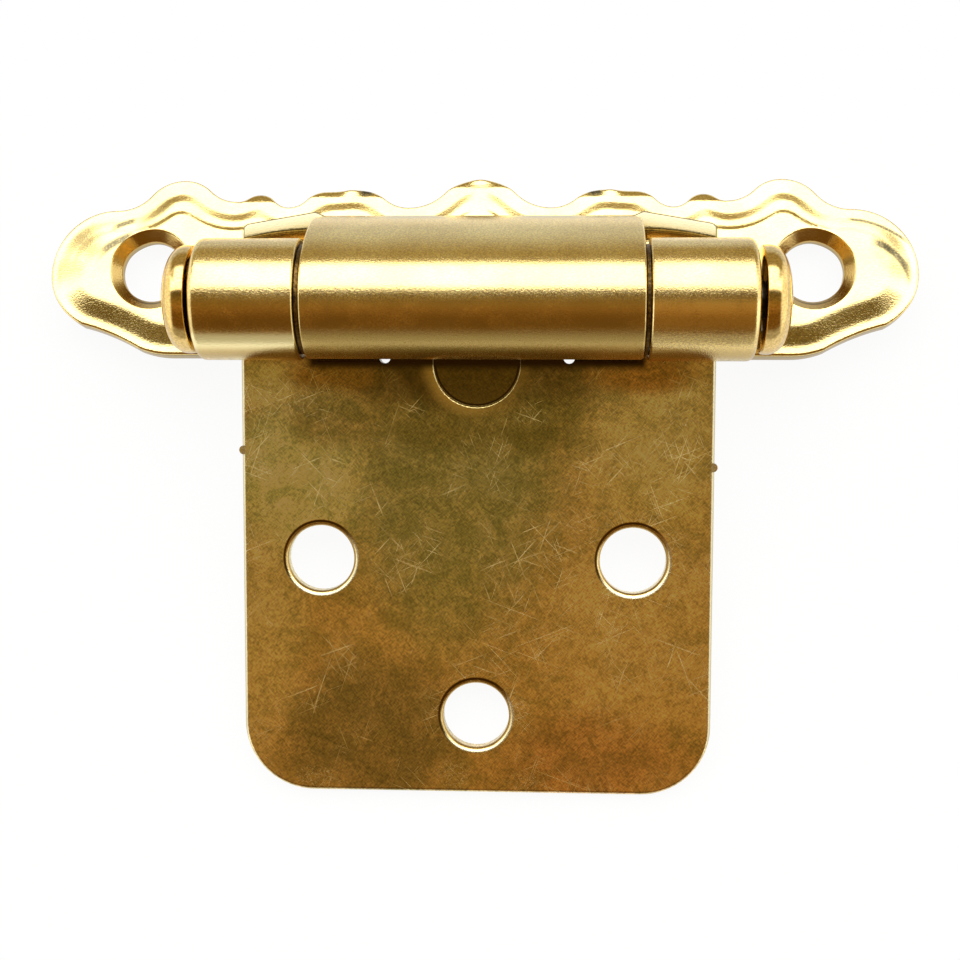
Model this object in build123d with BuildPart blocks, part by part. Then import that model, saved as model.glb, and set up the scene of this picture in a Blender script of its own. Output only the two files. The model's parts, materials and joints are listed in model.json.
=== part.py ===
from build123d import *
from math import atan2, cos, radians, sin, tan
import os

os.makedirs("parts", exist_ok=True)

# Self-closing cabinet hinge, lying on a table with its barrel up (millimetres).
# X runs along the barrel and Z is up. The hinge is closed past flat, so the two leaves make a
# shallow tent that stands on the door leaf's far edge and on the frame leaf's scalloped edge.
# In each leaf's own plane, "rise" is measured from the barrel axis towards the scalloped edge,
# and "depth" from the barrel axis towards the table.

# Barrel
over_close_angle = 14.0
knuckle_diameter = 9.32
centre_knuckle_diameter = 9.1
centre_knuckle_length = 25.8
knuckle_gap = 0.36
knuckle_edge_round = 0.22
knuckle_end_round = 0.6
roll_wrap_angle = 314.0
barrel_overhang = 2.4

# Door leaf
door_sheet = 1.2
plate_width = 37.66
plate_reach = 39.6
plate_corner_radius = 5.6
plate_edge_round = 0.34
door_hole_diameter = 5.3
door_hole_round = 0.3
upper_hole_spacing = 25.0
hole_row_spacing = 12.7
lower_hole_inset = 6.35
window_drop = 4.35
window_edge_round = 0.45
window_side_gap = 0.4
window_corner_width = 0.65
tongue_width = 13.7
tongue_drop = 3.8
relief_radius = 0.45
relief_drop = 4.45
half_moon_radius = 3.4
half_moon_drop = 4.9
half_moon_depth = 0.3
half_moon_round = 0.15
left_nub_drop = 11.85
right_nub_drop = 13.05
nub_radius = 0.36
nub_standout = 0.22

# Frame leaf
frame_sheet = 1.0
leaf_clearance = 0.34
terrace_step = 0.35
outer_margin = 1.2
inner_margin = 2.35
rim_round = 0.35
terrace_corner_radius = 1.2
terrace_taper = 60.0
frame_hole_diameter = 5.05
countersink_diameter = 6.52
countersink_slope = 45.0
frame_hole_spacing = 53.28
frame_hole_rise = 4.0

# Scalloped edge: where each crest and valley stands, from the middle outwards
dome_rise = 11.85
inner_valley_x = 5.8
inner_valley_rise = 9.4
inner_crest_x = 9.9
inner_crest_rise = 11.0
shelf_x = 12.6
shelf_rise = 10.88
middle_valley_x = 15.7
middle_valley_rise = 9.45
middle_crest_x = 18.1
middle_crest_rise = 10.66
outer_valley_x = 20.0
outer_valley_rise = 9.95
outer_crest_x = 24.3
outer_crest_rise = 11.75

# End lobe, measured from its screw hole
lobe_centre_out = 3.18
lobe_radius = 5.2
jaw_in = 2.8
jaw_down = 4.55
waist_sag = 0.2
foot_out = 1.84
foot_run = 2.6
foot_lift = 0.5
foot_drop = 3.05

# Raised strip that carries the centre knuckle, and the slots that free it
strip_width = 37.8
strip_end_top_rise = 7.4
strip_top_rise = 8.0
strip_end_low_rise = 6.2
strip_low_rise = 7.0
strip_corner_radius = 0.6
strip_edge_round = 0.25
shoulder_drop = 0.9
shoulder_width = 40.0
shoulder_corner_radius = 0.8
knuckle_slot = 0.35

# Crown of the teardrop knuckle
crown_start_angle = 37.0
crown_end_angle = 62.4
crown_radius = 16.0
lip_corner_radius = 1.2

# Inside the barrel
pin_diameter = 3.0
fit_gap = 0.01
running_gap = 0.05
flange_diameter = 8.4
flange_thickness = 0.24
outer_spigot_inset = 0.7
inner_spigot_length = 3.0
cam_width = 4.6
cam_round_diameter = 5.5
cam_end_gap = 0.2
spring_sheet = 0.45
spring_gap = 0.03
spring_end_gap = 0.5
spring_toe_drop = 2.0
spring_bend_rise = 1.6
spring_peak_rise = 4.3
spring_peak_width = 2.28
spring_bend_radius = 0.6

# Button tips
tip_diameter = 8.3
tip_length = 2.3
tip_bevel = 0.2
tip_rim = 0.2
left_tip_gap = 0.28
right_tip_gap = 0.42
tip_bore_depth = 1.5

# Worked-out sizes
quarter_turn = 90.0
half_turn = 2 * quarter_turn
knuckle_radius = knuckle_diameter / 2
knuckle_bore_radius = knuckle_radius - door_sheet
centre_radius = centre_knuckle_diameter / 2
centre_bore_radius = centre_radius - frame_sheet
barrel_half = plate_width / 2 + barrel_overhang
centre_half = centre_knuckle_length / 2
lower_hole_drop = plate_reach - lower_hole_inset
upper_hole_drop = lower_hole_drop - hole_row_spacing
flat_depth = knuckle_radius + leaf_clearance
terrace_depth = flat_depth + terrace_step
rim_depth = terrace_depth + terrace_step
back_depth = rim_depth + frame_sheet
frame_hole_x = frame_hole_spacing / 2
countersink_depth = (countersink_diameter - frame_hole_diameter) / 2 / tan(radians(countersink_slope))

# The tent: both leaves tilt so that the hinge touches the table along its two far edges
turn = radians(over_close_angle)
tent_rise = back_depth * cos(turn) + dome_rise * sin(turn) - knuckle_radius
tent_run = plate_reach - back_depth * sin(turn) + dome_rise * cos(turn)
door_tilt = atan2(tent_rise, tent_run)
leaf_tilt = turn - door_tilt
axis_z = knuckle_radius * cos(door_tilt) + plate_reach * sin(door_tilt)
scallop_reach = (dome_rise - rim_round) * cos(leaf_tilt) - (rim_depth + rim_round) * sin(leaf_tilt)
scallop_reach_y = scallop_reach + rim_round
plate_round_depth = knuckle_bore_radius + plate_edge_round
plate_edge_reach = (plate_reach - plate_edge_round) * cos(door_tilt) - plate_round_depth * sin(door_tilt)
plate_reach_y = plate_edge_reach + plate_edge_round
axis_y = (plate_reach_y - scallop_reach_y) / 2
axis_point = (0, axis_y, axis_z)

# One plane along each leaf through the barrel axis, and one across each leaf
leaf_plane = Plane(axis_point, x_dir=(1, 0, 0), z_dir=(0, sin(leaf_tilt), cos(leaf_tilt)))
door_plane = Plane(axis_point, x_dir=(1, 0, 0), z_dir=(0, -sin(door_tilt), cos(door_tilt)))
leaf_section = Plane(axis_point, x_dir=leaf_plane.y_dir, z_dir=(1, 0, 0))
door_section = Plane(axis_point, x_dir=door_plane.y_dir, z_dir=(1, 0, 0))
leaf_normal = Axis(axis_point, leaf_plane.z_dir)
door_normal = Axis(axis_point, door_plane.z_dir)


def edges_at(part, normal, depth):
    # Edges that lie in the plane at one depth below the barrel axis
    plane_edges = []
    for edge in part.edges():
        points = (edge @ 0, edge @ 0.5, edge @ 1)
        heights = [(point - normal.position).dot(normal.direction) for point in points]
        if all(abs(height + depth) < fit_gap for height in heights):
            plane_edges.append(edge)
    return ShapeList(plane_edges)


# Door leaf: one sheet, rolled into the outer knuckles, with a window for the centre knuckle
with BuildPart() as door_leaf:
    for start in (-barrel_half, centre_half + knuckle_gap):
        with BuildSketch(door_section.offset(start)):
            with BuildLine():
                outer_roll = CenterArc((0, 0), knuckle_radius, -quarter_turn, roll_wrap_angle)
                inner_roll = CenterArc((0, 0), knuckle_bore_radius, -quarter_turn, roll_wrap_angle)
                Line(outer_roll @ 0, inner_roll @ 0)
                Line(outer_roll @ 1, inner_roll @ 1)
            make_face()
        extrude(amount=barrel_half - centre_half - knuckle_gap)
    roll_arcs = door_leaf.edges().filter_by(GeomType.CIRCLE)
    roll_arcs = roll_arcs.filter_by(lambda edge: edge.radius > knuckle_bore_radius + fit_gap)
    end_arcs = roll_arcs.filter_by(lambda edge: abs(edge.center().X) > barrel_half - fit_gap)
    fillet(roll_arcs - end_arcs, knuckle_edge_round)
    end_arcs = door_leaf.edges().filter_by(GeomType.CIRCLE)
    end_arcs = end_arcs.filter_by(lambda edge: abs(edge.center().X) > barrel_half - fit_gap)
    end_arcs = end_arcs.filter_by(lambda edge: edge.radius > knuckle_bore_radius + fit_gap)
    fillet(end_arcs, knuckle_end_round)
    with BuildSketch(door_plane.offset(-knuckle_radius)) as plate:
        with Locations((0, -plate_reach / 2)):
            Rectangle(plate_width, plate_reach)
        fillet(plate.vertices().group_by(Axis.Y)[0], plate_corner_radius)
        with Locations((-plate_width / 2 - nub_standout + nub_radius, -left_nub_drop)):
            Circle(nub_radius)
        with Locations((plate_width / 2 + nub_standout - nub_radius, -right_nub_drop)):
            Circle(nub_radius)
        with Locations((0, -window_drop / 2)):
            Rectangle(centre_knuckle_length + 2 * window_side_gap, window_drop, mode=Mode.SUBTRACT)
        with Locations((0, -(window_drop + tongue_drop) / 2)):
            Rectangle(tongue_width, window_drop - tongue_drop)
            with GridLocations(centre_knuckle_length + 2 * window_side_gap - window_corner_width, 1, 2, 1):
                Rectangle(window_corner_width, window_drop - tongue_drop)
        with Locations((0, -upper_hole_drop)), GridLocations(upper_hole_spacing, 1, 2, 1):
            Circle(door_hole_diameter / 2, mode=Mode.SUBTRACT)
        with Locations((0, -lower_hole_drop)):
            Circle(door_hole_diameter / 2, mode=Mode.SUBTRACT)
    extrude(amount=door_sheet)
    front_edges = edges_at(door_leaf, door_normal, knuckle_bore_radius)
    fillet(front_edges.filter_by(lambda edge: edge.is_closed), door_hole_round)
    outline = edges_at(door_leaf, door_normal, knuckle_bore_radius)
    outline = outline.filter_by(lambda edge: not edge.is_closed and edge.length > plate_corner_radius)
    outline = outline.filter_by(
        lambda edge: door_plane.to_local_coords(edge.center()).Y < -window_drop - fit_gap
    )
    fillet(outline, plate_edge_round)
    window_edges = edges_at(door_leaf, door_normal, knuckle_bore_radius)
    window_edges = window_edges.filter_by(
        lambda edge: abs(door_plane.to_local_coords(edge.center()).Y + window_drop) < fit_gap
    )
    fillet(window_edges, window_edge_round)
    with BuildSketch(door_plane.offset(-knuckle_radius)):
        with Locations((0, -relief_drop)), GridLocations(tongue_width + 2 * relief_radius, 1, 2, 1):
            Circle(relief_radius)
    extrude(amount=door_sheet, mode=Mode.SUBTRACT)
    with BuildSketch(door_plane.offset(-knuckle_bore_radius)):
        with Locations((0, -half_moon_drop)):
            Circle(half_moon_radius)
    extrude(amount=-half_moon_depth, mode=Mode.SUBTRACT)
    recess_rim = edges_at(door_leaf, door_normal, knuckle_bore_radius).filter_by(GeomType.CIRCLE)
    recess_rim = recess_rim.filter_by(lambda edge: abs(edge.radius - half_moon_radius) < fit_gap)
    fillet(recess_rim, half_moon_round)
door_leaf.part.label = "door_leaf"

# Outline of the frame leaf, drawn as if its lower edge ran straight across behind the barrel
crests = [
    (0, dome_rise),
    (inner_valley_x, inner_valley_rise),
    (inner_crest_x, inner_crest_rise),
    (shelf_x, shelf_rise),
    (middle_valley_x, middle_valley_rise),
    (middle_crest_x, middle_crest_rise),
    (outer_valley_x, outer_valley_rise),
    (outer_crest_x, outer_crest_rise),
    (frame_hole_x + lobe_centre_out, frame_hole_rise + lobe_radius),
]
lobe_x = frame_hole_x + lobe_centre_out
lobe_end = (lobe_x + lobe_radius, frame_hole_rise)
jaw = (lobe_end[0] - jaw_in, frame_hole_rise - jaw_down)
foot = (frame_hole_x - foot_out, -foot_drop)
heel = (foot[0] + foot_run, foot_lift - foot_drop)
with BuildSketch() as contour:
    with BuildLine():
        for start, end in zip(crests, crests[1:]):
            middle = ((start[0] + end[0]) / 2, (start[1] + end[1]) / 2)
            TangentArc(start, middle, tangent=(1, 0))
            TangentArc(end, middle, tangent=(-1, 0))
        TangentArc(crests[-1], lobe_end, tangent=(1, 0))
        TangentArc(lobe_end, jaw, tangent=(0, -1))
        SagittaArc(jaw, heel, waist_sag)
        TangentArc(foot, heel, tangent=(1, 0))
        Line(foot, (0, -foot_drop))
        mirror(about=Plane.YZ)
    make_face()

# Frame leaf: one sheet, stamped into terraces and rolled into the centre knuckle
with BuildPart() as frame_leaf:
    with BuildSketch(leaf_plane.offset(-back_depth)):
        add(contour.sketch)
    extrude(amount=frame_sheet)
    fillet(edges_at(frame_leaf, leaf_normal, rim_depth), rim_round)
    for margin, base in ((outer_margin, rim_depth), (inner_margin, terrace_depth)):
        with BuildSketch(leaf_plane.offset(-base)):
            add(contour.sketch)
            offset(amount=-margin - terrace_corner_radius, kind=Kind.ARC)
            offset(amount=terrace_corner_radius, kind=Kind.ARC)
        extrude(amount=terrace_step, taper=terrace_taper)
    for margin, base in ((outer_margin, rim_depth), (inner_margin, terrace_depth)):
        with BuildSketch(leaf_plane.offset(-back_depth)):
            add(contour.sketch)
            offset(amount=-margin - frame_sheet - terrace_corner_radius, kind=Kind.ARC)
            offset(amount=terrace_corner_radius, kind=Kind.ARC)
        extrude(amount=back_depth - base + terrace_step - frame_sheet, mode=Mode.SUBTRACT)
    with BuildSketch(leaf_plane.offset(-back_depth)):
        with BuildLine():
            half_shoulder = shoulder_width / 2
            half_slot = centre_half + knuckle_slot
            FilletPolyline(
                (0, strip_low_rise),
                (half_slot, strip_low_rise),
                (half_slot, shoulder_drop),
                (half_shoulder, shoulder_drop),
                (half_shoulder, -foot_drop - shoulder_corner_radius),
                (0, -foot_drop - shoulder_corner_radius),
                radius=shoulder_corner_radius,
            )
            mirror(about=Plane.YZ)
        make_face()
    extrude(amount=back_depth, mode=Mode.SUBTRACT)
    with BuildSketch(leaf_plane.offset(-flat_depth - frame_sheet)):
        with BuildLine():
            strip_half = strip_width / 2
            top = FilletPolyline(
                (0, strip_top_rise),
                (centre_half, strip_top_rise),
                (strip_half, strip_end_top_rise),
                (strip_half, strip_end_low_rise),
                radius=strip_corner_radius,
            )
            low = TangentArc((centre_half, strip_low_rise), top @ 1, tangent=(1, 0))
            Line(low @ 0, (0, strip_low_rise))
            mirror(about=Plane.YZ)
        make_face()
    extrude(amount=flat_depth + frame_sheet - centre_bore_radius)
    fillet(edges_at(frame_leaf, leaf_normal, centre_bore_radius), strip_edge_round)
    with BuildSketch(leaf_plane.offset(-back_depth)):
        with Locations((0, frame_hole_rise)), GridLocations(frame_hole_spacing, 1, 2, 1):
            Circle(frame_hole_diameter / 2)
    extrude(amount=back_depth, mode=Mode.SUBTRACT)
    with BuildSketch(leaf_plane.offset(-flat_depth)):
        with Locations((0, frame_hole_rise)), GridLocations(frame_hole_spacing, 1, 2, 1):
            Circle(countersink_diameter / 2)
    extrude(amount=-countersink_depth, taper=countersink_slope, mode=Mode.SUBTRACT)
    with BuildSketch(leaf_section.offset(-centre_half)):
        with BuildLine():
            crown_x = (centre_radius - crown_radius) * sin(radians(crown_start_angle))
            crown_y = (centre_radius - crown_radius) * cos(radians(crown_start_angle))
            crown_turn = crown_end_angle - crown_start_angle
            belly_turn = half_turn + crown_start_angle
            strip_root = strip_low_rise + strip_edge_round
            lip = []
            for inset in (0, frame_sheet):
                radius = centre_radius - inset
                Line((strip_root, -radius), (0, -radius))
                CenterArc((0, 0), radius, -quarter_turn, -belly_turn)
                crown_angle = quarter_turn - crown_start_angle
                crown = CenterArc((crown_x, crown_y), crown_radius - inset, crown_angle, -crown_turn)
                lip.append(crown @ 1)
            Line(lip[0], lip[1])
            Line((strip_root, -centre_radius), (strip_root, -centre_bore_radius))
        make_face()
    extrude(amount=centre_knuckle_length)
    lip_middle = (lip[0] + lip[1]) / 2
    for side in (-centre_half, centre_half):
        corner = leaf_section.offset(side).from_local_coords((lip_middle.X, lip_middle.Y, 0))
        fillet(frame_leaf.edges().sort_by_distance(corner)[0], lip_corner_radius)
    knuckle_arcs = frame_leaf.edges().filter_by(GeomType.CIRCLE)
    knuckle_arcs = knuckle_arcs.filter_by(
        lambda edge: min(abs(edge.radius - centre_radius), abs(edge.radius - crown_radius)) < fit_gap
    )
    fillet(knuckle_arcs, knuckle_edge_round)
frame_leaf.part.label = "frame_leaf"

# Hinge pin, a plain rod from tip to tip
pin_start = -barrel_half - left_tip_gap - tip_bore_depth
pin_end = barrel_half + right_tip_gap + tip_bore_depth
pin_radius = pin_diameter / 2
with BuildPart() as hinge_pin:
    with BuildSketch(leaf_section.offset(pin_start)):
        Circle(pin_radius)
    extrude(amount=pin_end - pin_start)
    chamfer(hinge_pin.edges(), tip_bevel)
hinge_pin.part.label = "hinge_pin"

# Flanged bushes: pressed in the outer knuckles, running in the centre knuckle, flange between the two
flange_start = centre_half + (knuckle_gap - flange_thickness) / 2
spigot_end = barrel_half - outer_spigot_inset
bush_length = spigot_end - flange_start + inner_spigot_length
bushes = []
for name, side in (("left_bush", -1), ("right_bush", 1)):
    with BuildPart() as bush:
        with BuildSketch(leaf_section.offset(side * flange_start)):
            Circle(flange_diameter / 2)
        extrude(amount=side * flange_thickness)
        with BuildSketch(leaf_section.offset(side * flange_start)):
            Circle(knuckle_bore_radius - fit_gap)
        extrude(amount=side * (spigot_end - flange_start))
        with BuildSketch(leaf_section.offset(side * flange_start)):
            Circle(centre_bore_radius - running_gap)
        extrude(amount=-side * inner_spigot_length)
        with BuildSketch(leaf_section.offset(side * (flange_start - inner_spigot_length))):
            Circle(pin_radius + fit_gap)
        extrude(amount=side * bush_length, mode=Mode.SUBTRACT)
    bush.part.label = name
    bushes.append(bush)

# Cam: a flatted sleeve on the pin, which the spring legs squeeze back to the closed position
cam_half = flange_start - inner_spigot_length - cam_end_gap
with BuildPart() as cam:
    with BuildSketch(leaf_section.offset(-cam_half)):
        Circle(cam_round_diameter / 2)
        Rectangle(cam_round_diameter, cam_width, mode=Mode.INTERSECT)
        Circle(pin_radius + fit_gap, mode=Mode.SUBTRACT)
    extrude(amount=2 * cam_half)
cam.part.label = "cam"

# Closing spring: a flat strip bent into a hairpin, one leg on each flat of the cam
leg_depth = cam_width / 2 + spring_gap
spring_half = cam_half - spring_end_gap
with BuildPart() as closing_spring:
    with BuildSketch(leaf_section.offset(-spring_half)):
        with BuildLine():
            FilletPolyline(
                (-spring_toe_drop, leg_depth),
                (spring_bend_rise, leg_depth),
                (spring_peak_rise, spring_peak_width - leg_depth),
                (spring_peak_rise, -leg_depth),
                (-spring_toe_drop, -leg_depth),
                radius=spring_bend_radius,
            )
            offset(amount=spring_sheet, side=Side.LEFT)
        make_face()
    extrude(amount=2 * spring_half)
closing_spring.part.label = "closing_spring"

# Button tips, turned, with a bevel towards the knuckle and an oval dome outwards
tip_radius = tip_diameter / 2
tips = []
for name, side, gap in (("left_tip", -1, left_tip_gap), ("right_tip", 1, right_tip_gap)):
    inner_face = barrel_half + gap
    rim_end = inner_face + tip_bevel + tip_rim
    crown_end = inner_face + tip_length
    with BuildPart() as tip:
        with BuildSketch(Plane(axis_point, x_dir=(side, 0, 0), z_dir=(0, -side, 0))):
            with BuildLine():
                Polyline(
                    (crown_end, 0),
                    (inner_face, 0),
                    (inner_face, tip_radius - tip_bevel),
                    (inner_face + tip_bevel, tip_radius),
                    (rim_end, tip_radius),
                )
                EllipticalCenterArc((rim_end, 0), crown_end - rim_end, tip_radius, arc_size=quarter_turn)
            make_face()
        revolve(axis=Axis(axis_point, (1, 0, 0)))
        with BuildSketch(leaf_section.offset(side * inner_face)):
            Circle(pin_radius + fit_gap)
        extrude(amount=side * (tip_bore_depth + fit_gap), mode=Mode.SUBTRACT)
    tip.part.label = name
    tips.append(tip)

for piece in (door_leaf, frame_leaf, hinge_pin, cam, closing_spring, *bushes, *tips):
    export_step(piece.part, f"parts/{piece.part.label}.step")
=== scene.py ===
import bmesh
import bpy
import json
import math
import numpy as np
from mathutils import Matrix, Vector
from mathutils.geometry import delaunay_2d_cdt


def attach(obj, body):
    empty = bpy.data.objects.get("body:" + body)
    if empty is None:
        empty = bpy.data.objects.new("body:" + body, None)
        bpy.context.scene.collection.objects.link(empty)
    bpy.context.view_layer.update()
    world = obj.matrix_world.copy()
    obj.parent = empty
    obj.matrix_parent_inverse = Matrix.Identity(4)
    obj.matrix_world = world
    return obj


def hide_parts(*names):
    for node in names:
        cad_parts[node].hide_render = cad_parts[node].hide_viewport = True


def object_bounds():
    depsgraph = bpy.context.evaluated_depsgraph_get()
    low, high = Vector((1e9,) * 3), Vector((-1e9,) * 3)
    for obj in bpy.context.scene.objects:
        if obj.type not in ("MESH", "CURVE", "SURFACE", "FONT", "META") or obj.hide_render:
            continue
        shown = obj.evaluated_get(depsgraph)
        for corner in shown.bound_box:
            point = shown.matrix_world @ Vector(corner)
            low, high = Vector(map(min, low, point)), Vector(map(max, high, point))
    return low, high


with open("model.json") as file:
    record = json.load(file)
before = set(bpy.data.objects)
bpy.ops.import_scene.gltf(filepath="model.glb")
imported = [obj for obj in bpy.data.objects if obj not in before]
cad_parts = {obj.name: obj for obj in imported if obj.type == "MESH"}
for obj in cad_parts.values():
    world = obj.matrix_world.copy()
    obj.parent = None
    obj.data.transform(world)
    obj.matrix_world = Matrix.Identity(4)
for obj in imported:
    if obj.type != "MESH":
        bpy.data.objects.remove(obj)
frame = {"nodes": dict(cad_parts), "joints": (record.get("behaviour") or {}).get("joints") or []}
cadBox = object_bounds()
nodes = frame["nodes"]
scene = bpy.context.scene
scene.view_settings.view_transform = "Standard"
swing = frame["joints"][0]
axisPoint = Vector(swing["pos_m"])       # a point on the barrel's axis
mm = 0.001
print("frame loaded:", len(nodes), "nodes")


class Wire:                              # one socket in a node tree, with maths on it
    def __init__(self, tree, socket=None):
        self.tree = tree
        self.socket = socket

    def add(self, kind, settings, sockets, out=0):
        node = self.tree.nodes.new(kind)
        for key, value in settings.items():
            if key == "stops":
                ramp = node.color_ramp
                while len(ramp.elements) < len(value):
                    ramp.elements.new(1.0)
                for element, (place, colour) in zip(ramp.elements, value):
                    element.position = place
                    element.color = (*colour, 1.0)
            else:
                setattr(node, key, value)
        for key, value in sockets.items():
            slot = node.inputs[key]
            if isinstance(value, Wire):
                self.tree.links.new(value.socket, slot)
            else:
                slot.default_value = value
        return Wire(self.tree, node.outputs[out] if len(node.outputs) else None)

    def calc(self, operation, a, b=0.0, c=0.0):
        return self.add("ShaderNodeMath", {"operation": operation}, {0: a, 1: b, 2: c})

    def __add__(self, other):
        return self.calc("ADD", self, other)

    def __radd__(self, other):
        return self.calc("ADD", other, self)

    def __sub__(self, other):
        return self.calc("SUBTRACT", self, other)

    def __rsub__(self, other):
        return self.calc("SUBTRACT", other, self)

    def __mul__(self, other):
        return self.calc("MULTIPLY", self, other)

    def __rmul__(self, other):
        return self.calc("MULTIPLY", other, self)

    def __truediv__(self, other):
        return self.calc("DIVIDE", self, other)

    def __rtruediv__(self, other):
        return self.calc("DIVIDE", other, self)

    def rise(self, low, high):           # 0 below low, 1 above high, smooth between
        return self.add("ShaderNodeMapRange", {"interpolation_type": "SMOOTHSTEP"},
                        {"Value": self, "From Min": low, "From Max": high, "To Min": 0.0, "To Max": 1.0})

    def fall(self, low, high):           # 1 below low, 0 above high
        return 1.0 - self.rise(low, high)

    def between(self, start, end, stop, gone):      # up from start to end, down again from stop to gone
        return self.rise(start, end) * self.fall(stop, gone)

    def mix(self, a, b):                 # colours a to b by this value
        return self.add("ShaderNodeMix", {"data_type": "RGBA"}, {0: self, 6: a, 7: b}, 2)

    def parts(self):                     # the three parts of a vector
        node = self.add("ShaderNodeSeparateXYZ", {}, {"Vector": self}).socket.node
        return [Wire(self.tree, socket) for socket in node.outputs]

    def line(self, at, width):           # 1 where this value is close to one level, else 0
        return 1.0 - self.calc("ABSOLUTE", self - at).rise(0.0, width)

    def cloud(self, scale, detail=4.0, rough=0.55, bend=0.0):
        return self.add("ShaderNodeTexNoise", {},
                        {"Vector": self, "Scale": scale, "Detail": detail, "Roughness": rough, "Distortion": bend})

    def stretch(self, turn, scale):      # vector turned about Z, then scaled
        turned = self.add("ShaderNodeVectorRotate", {"rotation_type": "Z_AXIS"}, {"Vector": self, "Angle": turn})
        return self.add("ShaderNodeVectorMath", {"operation": "MULTIPLY"}, {0: turned, 1: scale})


def newMaterial(name):
    material = bpy.data.materials.new(name)
    material.use_nodes = True
    material.node_tree.nodes.clear()
    return material, Wire(material.node_tree)


def finishMetal(tree, colour, rough, height):     # height in millimetres
    bump = tree.add("ShaderNodeBump", {}, {"Strength": 1.0, "Distance": mm, "Height": height})
    shader = tree.add("ShaderNodeBsdfPrincipled", {},
                      {"Base Color": colour, "Roughness": rough, "Normal": bump, "Metallic": 1.0})
    tree.add("ShaderNodeOutputMaterial", {}, {"Surface": shader})


studio = {                               # what the metal sees, by angle from overhead towards the scalloped edge
    "turns": [
        (-180, (0.72, 0.71, 0.67)), (-106, (0.72, 0.71, 0.67)), (-92, (0.5, 0.46, 0.38)), (-80, (0.5, 0.46, 0.38)),
        (-70, (0.2, 0.1, 0.02)), (-40, (0.22, 0.105, 0.018)), (-24, (0.38, 0.19, 0.045)), (-15, (0.38, 0.22, 0.052)),
        (-6, (0.26, 0.17, 0.05)), (10.5, (0.13, 0.1, 0.035)), (18.5, (3.6, 3.6, 3.65)), (62, (3.6, 3.6, 3.65)),
        (70, (0.42, 0.33, 0.16)), (104, (0.42, 0.33, 0.16)), (115, (0.74, 0.76, 0.8)), (180, (0.74, 0.76, 0.8)),
    ],
    "sides": (1.5, 1.48, 1.4),           # pale panels beyond the barrel's ends
    "flanks": (1.05, 1.04, 1.0),         # the bright panel's ends are no brighter than this
    "flankFade": (0.4, 0.54), "flankLow": (0.48, 0.6), "sideFade": (0.62, 0.86),
    "floorAlbedo": 0.86,
    "floorGlow": (0.935, 0.62),          # how far the sheet is lifted to white: seen directly, seen in the metal
    "sheet": (-70, -60, 70, 29),         # the pale sheet under the hinge, millimetres
    "sheetDrop": 0.02,
}


def lightRoom():
    world = bpy.data.worlds.new("studioRoom")
    scene.world = world
    world.use_nodes = True
    world.node_tree.nodes.clear()
    room = Wire(world.node_tree)
    x, y, z = room.add("ShaderNodeTexCoord", {}, {}, "Generated").parts()
    turn = room.calc("ARCTAN2", y, z) / (2 * math.pi) + 0.5
    stops = [(angle / 360 + 0.5, colour) for angle, colour in studio["turns"]]
    panels = room.add("ShaderNodeValToRGB", {"stops": stops}, {"Fac": turn})
    across = room.calc("ABSOLUTE", x)
    dimmed = across.rise(*studio["flankFade"]) * y.rise(*studio["flankLow"])
    panels = room.add("ShaderNodeMix", {"data_type": "RGBA", "blend_type": "DARKEN"},
                      {0: dimmed, 6: panels, 7: (*studio["flanks"], 1)}, 2)
    around = across.rise(*studio["sideFade"]).mix(panels, (*studio["sides"], 1))
    seen = room.add("ShaderNodeLightPath", {}, {}, "Is Camera Ray")
    lit = room.add("ShaderNodeBackground", {}, {"Color": around, "Strength": 1.0})
    white = room.add("ShaderNodeBackground", {}, {"Color": (1, 1, 1, 1), "Strength": 1.0})
    both = room.add("ShaderNodeMixShader", {}, {0: seen, 1: lit, 2: white})
    room.add("ShaderNodeOutputWorld", {}, {"Surface": both})


def layFloor():
    left, near, right, far = (edge * mm for edge in studio["sheet"])
    mesh = bpy.data.meshes.new("paleFloor")
    mesh.from_pydata([(left, near, 0), (right, near, 0), (right, far, 0), (left, far, 0)], [], [(0, 1, 2, 3)])
    floor = bpy.data.objects.new("paleFloor", mesh)
    scene.collection.objects.link(floor)
    floor.location.z = cadBox[0].z - studio["sheetDrop"] * mm
    material, tree = newMaterial("palePaper")
    path = tree.add("ShaderNodeLightPath", {}, {}, "Is Camera Ray").socket.node
    seen, glossy, through = (Wire(tree.tree, path.outputs[name]) for name in
                             ("Is Camera Ray", "Is Glossy Ray", "Is Transmission Ray"))
    direct, inMetal = studio["floorGlow"]
    shows = tree.calc("MAXIMUM", seen * direct, tree.calc("MAXIMUM", glossy * inMetal, through * direct))
    albedo = studio["floorAlbedo"]
    paper = tree.add("ShaderNodeBsdfDiffuse", {}, {"Color": (albedo, albedo, albedo, 1)})
    glow = tree.add("ShaderNodeEmission", {}, {"Color": (1, 1, 1, 1), "Strength": 1.0})
    both = tree.add("ShaderNodeMixShader", {}, {0: shows, 1: paper, 2: glow})
    tree.add("ShaderNodeOutputMaterial", {}, {"Surface": both})
    mesh.materials.append(material)


eye = {                                  # fitted to the photo: offset from the axis in millimetres, tilt in degrees
    "offset": (6.274, -14.636, 112.048), "tilt": (-0.435, -2.937, -0.392),
    "lens": 55.11, "sensor": 36.0, "nearClip": 1.0,
}


def setCamera():
    data = bpy.data.cameras.new("photoCamera")
    data.sensor_width = eye["sensor"]
    data.lens = eye["lens"]
    data.clip_start = eye["nearClip"] * mm
    camera = bpy.data.objects.new("photoCamera", data)
    scene.collection.objects.link(camera)
    ax, ay, az = (math.radians(angle) for angle in eye["tilt"])
    turn = Matrix.Rotation(az, 3, "Z") @ Matrix.Rotation(ay, 3, "Y") @ Matrix.Rotation(ax, 3, "X")
    place = axisPoint + Vector(eye["offset"]) * mm
    camera.matrix_world = Matrix.Translation(place) @ turn.transposed().to_4x4()
    scene.camera = camera


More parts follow.
